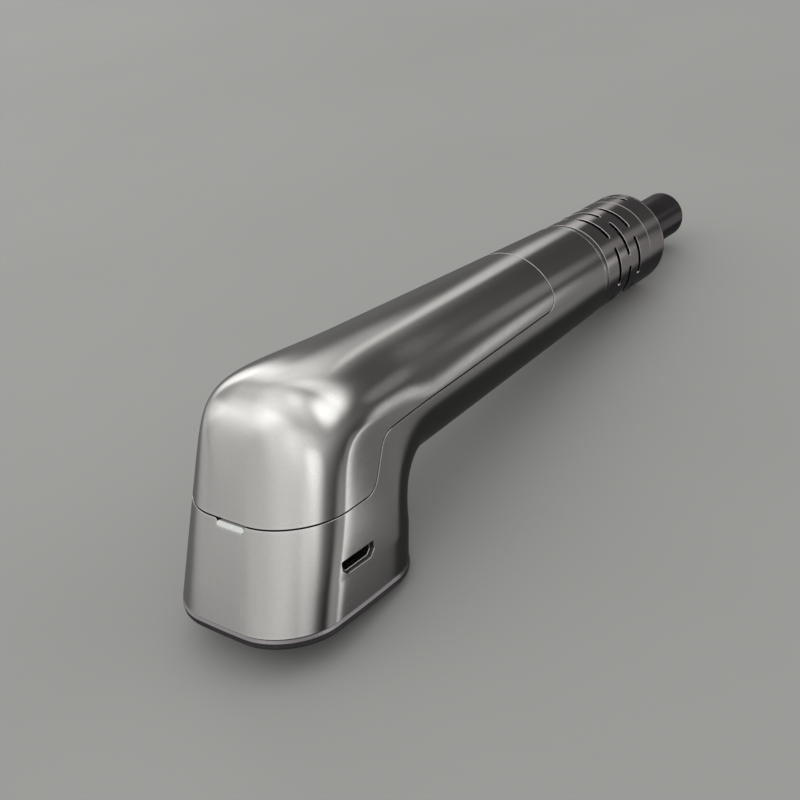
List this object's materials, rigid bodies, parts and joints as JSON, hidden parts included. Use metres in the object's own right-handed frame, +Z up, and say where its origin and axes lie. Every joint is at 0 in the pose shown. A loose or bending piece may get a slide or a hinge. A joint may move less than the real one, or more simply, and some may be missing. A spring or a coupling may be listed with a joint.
{
  "type": "curing light",
  "caption": "Cordless bent-handle dental curing light in satin steel, with lift-off cover, slotted cooling collar, charging socket and turning light guide.",
  "frame": {"origin": "middle of the bench-contact plane under the object's bounding box, with the light lying on its foot pad and collar rim", "axes": "+X from the foot towards the light-guide tip, +Y away from the charging socket side, +Z up"},
  "size_m": [0.1662, 0.0318, 0.0426],
  "materials": {
    "satin_steel": "satin, fine brushed",
    "dark_nickel": "satin, dark nickel",
    "pad_rubber": "matte",
    "light_bar": "frosted",
    "bright_steel": "bright plated",
    "inner_plastic": "fine moulded grain",
    "board": "solder mask",
    "chip": "moulded epoxy",
    "coil_copper": "enamelled copper",
    "capacitor_ceramic": "fired ceramic",
    "cell_wrap": "shrink sleeve",
    "contact_gold": "plated",
    "flex_amber": "polyimide film",
    "trigger_rubber": "soft matte",
    "seal_rubber": "smooth",
    "magnet_nickel": "nickel plated",
    "sink_aluminium": "turned",
    "wire_red": "silicone insulation",
    "led_ceramic": "ceramic",
    "reflector_mirror": "polished",
    "dark_gloss": "polished",
    "guide_glass": "polished fibre rod"
  },
  "bodies": {
    "handpiece": {"lower_housing": "satin_steel", "base_pad": "pad_rubber", "sole_plate": "inner_plastic", "sole_screws": "bright_steel", "status_light": "light_bar", "status_led": "led_ceramic", "usb_shell": "bright_steel", "usb_tongue": "inner_plastic", "main_board": "board", "board_screws": "bright_steel", "controller_chip": "chip", "charge_coil": "coil_copper", "capacitors": "capacitor_ceramic", "buzzer": "chip", "flex_socket": "led_ceramic", "chassis": "inner_plastic", "battery_cell": "cell_wrap", "battery_contact": "contact_gold", "battery_spring": "bright_steel", "flex_circuit": "flex_amber", "tact_switch": "bright_steel", "chassis_magnets": "magnet_nickel", "joint_ring": "satin_steel", "heat_sink": "sink_aluminium", "lamp_wires": "wire_red", "led_board": "sink_aluminium", "led_emitter": "led_ceramic", "reflector": "reflector_mirror"},
    "cover": {"upper_cover": "satin_steel", "cover_magnets": "magnet_nickel"},
    "trigger": {"trigger_button": "trigger_rubber"},
    "collar": {"vent_collar": "dark_nickel", "front_ring": "dark_nickel"},
    "bush": {"guide_bush": "inner_plastic"},
    "guide": {"guide_o_rings": "seal_rubber", "tip_sleeve": "dark_gloss", "light_guide": "guide_glass"}
  },
  "joints": [
    {"name": "cover_lift", "type": "slide", "parent": "handpiece", "child": "cover", "axis": [0.1542, 0, 0.988], "range_m": [0, 0.03]},
    {"name": "trigger_press", "type": "slide", "parent": "handpiece", "child": "trigger", "axis": [0.1542, 0, 0.988], "range_m": [0, 0.00045]},
    {"name": "collar_pull", "type": "slide", "parent": "handpiece", "child": "collar", "axis": [0.988, 0, -0.1542], "range_m": [0, 0.03]},
    {"name": "guide_turn", "type": "hinge", "parent": "collar", "child": "bush", "pos_m": [0.05763, 0, 0.01115], "axis": [0.988, 0, -0.1542], "continuous": true},
    {"name": "guide_pull", "type": "slide", "parent": "bush", "child": "guide", "axis": [0.988, 0, -0.1542], "range_m": [0, 0.02]}
  ]
}
